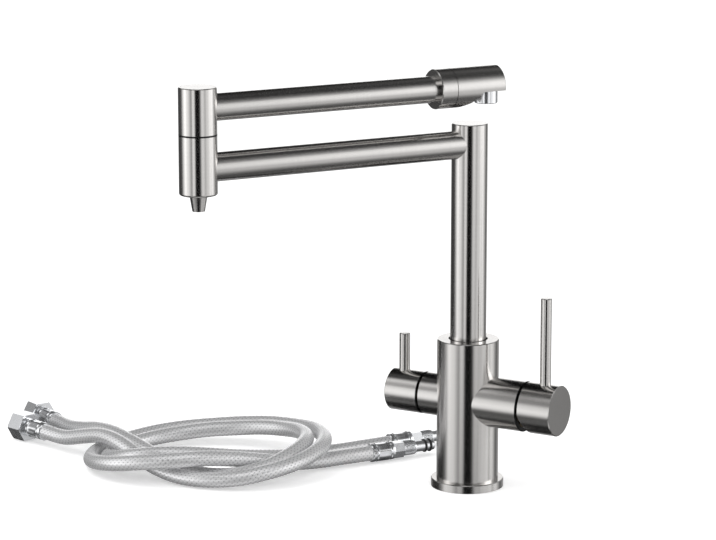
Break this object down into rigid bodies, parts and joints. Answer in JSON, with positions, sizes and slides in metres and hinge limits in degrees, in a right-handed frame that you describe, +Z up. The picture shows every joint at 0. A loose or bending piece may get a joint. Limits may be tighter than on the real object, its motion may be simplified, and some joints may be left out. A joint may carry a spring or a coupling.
{
  "type": "three-way kitchen faucet",
  "caption": "Kitchen faucet with a folding two-arm spout, a mixer lever, a filtered-water lever with its own nozzle under the elbow, and braided supply hoses.",
  "frame": {"origin": "centre of the foot, on the worktop", "axes": "+Z up, +X along the lever axis towards the mixer lever, the user stands at -Y"},
  "size_m": [0.4326, 0.2818, 0.2944],
  "materials": {
    "brushed_nickel": "fine brushed",
    "brass": "turned",
    "stainless": "turned",
    "rubber": "moulded",
    "plastic": "moulded",
    "ceramic": "lapped ceramic",
    "chrome": "polished",
    "steel_braid": "braided wire"
  },
  "bodies": {
    "base": {"base_flange": "brushed_nickel", "deck_seal": "rubber", "faucet_body": "brushed_nickel", "inlet_block": "brass", "mixer_sleeve": "brushed_nickel", "filter_sleeve": "brushed_nickel", "cartridge_housing": "plastic", "cartridge_fixed_disc": "ceramic", "cartridge_nut": "brass", "headwork_body": "brass", "headwork_fixed_disc": "ceramic", "column_glide_ring": "plastic", "column_thrust_washer": "plastic", "column_set_screw": "stainless", "hose_a_braid": "steel_braid", "hose_b_braid": "steel_braid", "hose_a_nut": "chrome", "hose_b_nut": "chrome", "hose_a_ferrules": "chrome", "hose_b_ferrules": "chrome", "hose_a_tail": "chrome", "hose_b_tail": "chrome", "hose_o_rings": "rubber"},
    "column": {"column_tube": "brushed_nickel", "column_cap": "brushed_nickel", "swivel_spigot": "brass", "spigot_o_rings": "rubber", "filter_tube": "plastic", "lower_arm_tube": "brushed_nickel", "elbow_lower_housing": "brushed_nickel", "elbow_spindle": "brass", "elbow_seam_washer": "plastic", "elbow_o_rings": "rubber", "elbow_retaining_washer": "stainless", "elbow_screw": "stainless", "filter_nozzle": "brushed_nickel"},
    "upper_arm": {"elbow_upper_housing": "brushed_nickel", "elbow_top_cap": "brushed_nickel", "upper_arm_tube": "brushed_nickel", "head_collar": "brushed_nickel", "head_spigot": "brass", "head_o_ring": "rubber", "head_clip": "stainless"},
    "head": {"spout_head": "brushed_nickel", "aerator_ring": "chrome", "aerator_insert": "plastic"},
    "mixer_rotor": {"cartridge_rotor": "plastic", "rotor_pivot_pin": "stainless"},
    "mixer_disc": {"cartridge_moving_disc": "ceramic", "disc_carrier": "plastic"},
    "mixer_handle": {"mixer_stem": "stainless", "mixer_cap": "brushed_nickel", "mixer_lever": "brushed_nickel", "mixer_grub_screw": "stainless"},
    "filter_handle": {"filter_spindle": "brass", "headwork_moving_disc": "ceramic", "filter_cap": "brushed_nickel", "filter_lever": "brushed_nickel", "filter_grub_screw": "stainless"}
  },
  "joints": [
    {"name": "column_swivel", "type": "hinge", "parent": "base", "child": "column", "pos_m": [0, 0, 0.095], "axis": [0, 0, 1], "range_deg": [-180, 180]},
    {"name": "elbow_swivel", "type": "hinge", "parent": "column", "child": "upper_arm", "pos_m": [-0.10512, -0.17634, 0.263], "axis": [0, 0, 1], "range_deg": [-180, 180]},
    {"name": "head_turn", "type": "hinge", "parent": "upper_arm", "child": "head", "pos_m": [-0.10512, -0.17634, 0.2802], "axis": [0.512, 0.859, 0], "range_deg": [-90, 90]},
    {"name": "mixer_turn", "type": "hinge", "parent": "base", "child": "mixer_rotor", "pos_m": [0.04, 0, 0.0618], "axis": [1, 0, 0], "range_deg": [-45, 45]},
    {"name": "mixer_tilt", "type": "hinge", "parent": "mixer_rotor", "child": "mixer_handle", "pos_m": [0.04, 0, 0.0618], "axis": [0, 1, 0], "range_deg": [0, 20]},
    {"name": "disc_slide", "type": "slide", "parent": "mixer_rotor", "child": "mixer_disc", "axis": [0, 0, 1], "range_m": [0, 0.0031]},
    {"name": "filter_turn", "type": "hinge", "parent": "base", "child": "filter_handle", "pos_m": [-0.04, 0, 0.0618], "axis": [1, 0, 0], "range_deg": [0, 90]}
  ],
  "couplings": [
    {"joint": "disc_slide", "follows": "mixer_tilt", "m_per_rad": 0.008818}
  ]
}
